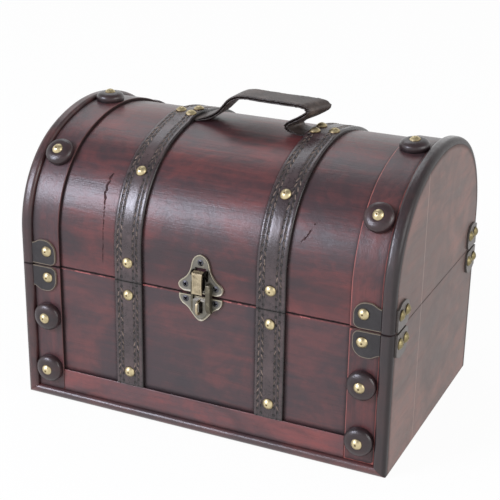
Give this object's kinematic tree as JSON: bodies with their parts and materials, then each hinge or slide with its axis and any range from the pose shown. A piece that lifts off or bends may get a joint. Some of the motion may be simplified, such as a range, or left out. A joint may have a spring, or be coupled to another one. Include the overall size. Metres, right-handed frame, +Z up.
{
  "type": "treasure chest",
  "caption": "Domed wooden treasure chest with a hinged lid, nailed leather straps, corner patches, a folded leather carrying handle and a brass hasp latch on the front.",
  "frame": {"origin": "middle of the underside, on the surface that the chest stands on", "axes": "+Z up, +X to the right seen from the front, front with the latch at -Y, hinges at +Y"},
  "size_m": [0.3904, 0.2686, 0.3042],
  "materials": {
    "band_wood": "stained, worn satin",
    "brass_nails": "aged, domed",
    "dome_wood": "stained, worn satin",
    "end_wood": "stained, worn satin",
    "handle_leather": "dark, layered, worn edges",
    "hinge_brass": "antique",
    "latch_brass": "antique",
    "moulding_wood": "stained with dark edges",
    "panel_wood": "stained, worn satin",
    "patch_leather": "grey, worn rim",
    "screws": "darkened",
    "strap_leather": "dark, stitched along both edges",
    "stud_wood": "dark stain"
  },
  "bodies": {
    "base": {"base_back_panel": "panel_wood", "base_band_foot": "band_wood", "base_band_left": "band_wood", "base_band_right": "band_wood", "base_bottom": "panel_wood", "base_corner_moulding_back_left": "moulding_wood", "base_corner_moulding_back_right": "moulding_wood", "base_corner_moulding_front_left": "moulding_wood", "base_corner_moulding_front_right": "moulding_wood", "base_corner_patch_back_left": "patch_leather", "base_corner_patch_back_right": "patch_leather", "base_corner_patch_front_left": "patch_leather", "base_corner_patch_front_right": "patch_leather", "base_foot_moulding_back": "moulding_wood", "base_foot_moulding_front": "moulding_wood", "base_front_panel": "panel_wood", "base_left_end": "end_wood", "base_nails": "brass_nails", "base_right_end": "end_wood", "base_strap_back_left": "strap_leather", "base_strap_back_right": "strap_leather", "base_strap_front_left": "strap_leather", "base_strap_front_right": "strap_leather", "base_stud_nails": "brass_nails", "base_studs": "stud_wood", "hinge_base_leaf_left": "hinge_brass", "hinge_base_leaf_right": "hinge_brass", "hinge_base_screws": "screws", "hinge_pins": "hinge_brass", "latch_base_screws": "screws", "latch_keeper": "latch_brass", "padlock_loop": "latch_brass"},
    "lid": {"carry_handle": "handle_leather", "handle_nails": "brass_nails", "hasp_pin": "latch_brass", "hinge_lid_leaf_left": "hinge_brass", "hinge_lid_leaf_right": "hinge_brass", "hinge_lid_screws": "screws", "latch_lid_plate": "latch_brass", "latch_lid_screws": "screws", "lid_back_rail": "panel_wood", "lid_band_left": "band_wood", "lid_band_right": "band_wood", "lid_corner_patch_back_left": "patch_leather", "lid_corner_patch_back_right": "patch_leather", "lid_corner_patch_front_left": "patch_leather", "lid_corner_patch_front_right": "patch_leather", "lid_dome": "dome_wood", "lid_front_rail": "panel_wood", "lid_left_end": "end_wood", "lid_nails": "brass_nails", "lid_right_end": "end_wood", "lid_rim_left": "moulding_wood", "lid_rim_right": "moulding_wood", "lid_strap_left": "strap_leather", "lid_strap_right": "strap_leather", "lid_stud_nails": "brass_nails", "lid_studs": "stud_wood"},
    "hasp": {"hasp_arm": "latch_brass"}
  },
  "joints": [
    {"name": "lid_hinge", "type": "hinge", "parent": "base", "child": "lid", "pos_m": [0, 0.1268, 0.141], "axis": [-1, 0, 0], "range_deg": [0, 105]},
    {"name": "hasp_swing", "type": "hinge", "parent": "lid", "child": "hasp", "pos_m": [0.0028, -0.128, 0.164], "axis": [-1, 0, 0], "range_deg": [0, 110]}
  ]
}
